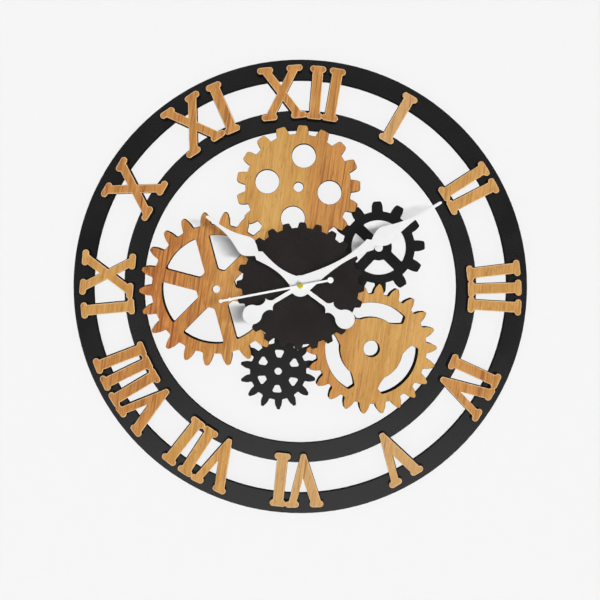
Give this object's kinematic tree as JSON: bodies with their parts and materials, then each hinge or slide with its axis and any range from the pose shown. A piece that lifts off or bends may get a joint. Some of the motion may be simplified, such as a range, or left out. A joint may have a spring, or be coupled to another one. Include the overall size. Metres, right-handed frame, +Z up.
{
  "type": "wall clock",
  "caption": "Open round wall clock: black rings tied by wooden Roman numerals, glued decorative gears, white hands and a quartz movement behind a toothed centre plate.",
  "frame": {"origin": "centre of the hanger's keyhole, in the plane of the wall", "axes": "+Z up, +X to the right of someone facing the dial, +Y out of the back into the wall"},
  "size_m": [0.5999, 0.0404, 0.5999],
  "materials": {
    "wood_face": "light brown veneer with upright grain, satin",
    "black_board": "black-faced board, satin, with dark cut edges",
    "hand_white": "white enamelled sheet",
    "brass": "turned and polished",
    "steel": "zinc plated",
    "case_plastic": "fine moulded texture",
    "train_plastic": "moulded, slightly translucent",
    "rubber": "soft and matt",
    "copper_wire": "enamelled winding",
    "circuit": "lacquered board",
    "cell_jacket": "plain printed jacket with a bare metal end"
  },
  "bodies": {
    "clock_body": {"top_gear": "wood_face", "left_gear": "wood_face", "lower_right_gear": "wood_face", "numeral_01": "wood_face", "numeral_02": "wood_face", "numeral_03": "wood_face", "numeral_04": "wood_face", "numeral_05": "wood_face", "numeral_06": "wood_face", "numeral_07": "wood_face", "numeral_08": "wood_face", "numeral_09": "wood_face", "numeral_10": "wood_face", "numeral_11": "wood_face", "numeral_12": "wood_face", "outer_ring": "black_board", "inner_ring": "black_board", "left_gear_backing": "black_board", "lower_right_gear_backing": "black_board", "upper_right_gear": "black_board", "lower_gear": "black_board", "centre_plate": "black_board", "top_gear_spacer": "black_board", "threaded_bushing": "brass", "brass_washer": "brass", "bushing_nut": "brass", "hanger_plate": "steel", "hanger_screws": "steel", "stator": "steel", "coil_core": "steel", "quartz_crystal": "steel", "battery_contact_positive": "steel", "battery_contact_negative": "steel", "movement_front_case": "case_plastic", "movement_back_cover": "case_plastic", "train_bridge": "train_plastic", "rubber_washer": "rubber", "wall_pads": "rubber", "coil": "copper_wire", "circuit_board": "circuit"},
    "minute_group": {"minute_hand": "hand_white", "minute_arbor": "train_plastic"},
    "hour_group": {"hour_hand": "hand_white", "hour_wheel": "train_plastic"},
    "setting_group": {"minute_wheel": "train_plastic", "setting_knob": "case_plastic"},
    "second_group": {"second_hand": "hand_white", "second_hand_cap": "brass", "second_wheel": "train_plastic"},
    "third_group": {"third_wheel": "train_plastic"},
    "centre_group": {"centre_wheel": "train_plastic"},
    "intermediate_group": {"intermediate_wheel": "train_plastic"},
    "rotor_group": {"rotor": "train_plastic"},
    "battery_group": {"battery": "cell_jacket"}
  },
  "joints": [
    {"name": "minute_turn", "type": "hinge", "parent": "clock_body", "child": "minute_group", "pos_m": [0, -0.035, -0.28675], "axis": [0, 1, 0], "continuous": true},
    {"name": "hour_turn", "type": "hinge", "parent": "clock_body", "child": "hour_group", "pos_m": [0, -0.032, -0.28675], "axis": [0, 1, 0], "continuous": true},
    {"name": "setting_turn", "type": "hinge", "parent": "clock_body", "child": "setting_group", "pos_m": [-0.013, -0.015, -0.28675], "axis": [0, 1, 0], "continuous": true},
    {"name": "second_turn", "type": "hinge", "parent": "clock_body", "child": "second_group", "pos_m": [0, -0.038, -0.28675], "axis": [0, 1, 0], "continuous": true},
    {"name": "third_turn", "type": "hinge", "parent": "clock_body", "child": "third_group", "pos_m": [-0.00517, -0.012, -0.27566], "axis": [0, 1, 0], "continuous": true},
    {"name": "centre_turn", "type": "hinge", "parent": "clock_body", "child": "centre_group", "pos_m": [0, -0.014, -0.28675], "axis": [0, 1, 0], "continuous": true},
    {"name": "intermediate_turn", "type": "hinge", "parent": "clock_body", "child": "intermediate_group", "pos_m": [0.01184, -0.008, -0.28244], "axis": [0, 1, 0], "continuous": true},
    {"name": "rotor_turn", "type": "hinge", "parent": "clock_body", "child": "rotor_group", "pos_m": [0.01115, -0.008, -0.27455], "axis": [0, 1, 0], "continuous": true},
    {"name": "battery_slide", "type": "slide", "parent": "clock_body", "child": "battery_group", "axis": [0, 1, 0], "range_m": [0, 0.02]}
  ],
  "couplings": [
    {"joint": "hour_turn", "follows": "minute_turn", "ratio": 0.083333},
    {"joint": "setting_turn", "follows": "minute_turn", "ratio": -0.33333},
    {"joint": "third_turn", "follows": "second_turn", "ratio": -0.13333},
    {"joint": "centre_turn", "follows": "second_turn", "ratio": 0.016667},
    {"joint": "intermediate_turn", "follows": "second_turn", "ratio": -6},
    {"joint": "rotor_turn", "follows": "second_turn", "ratio": 30}
  ]
}
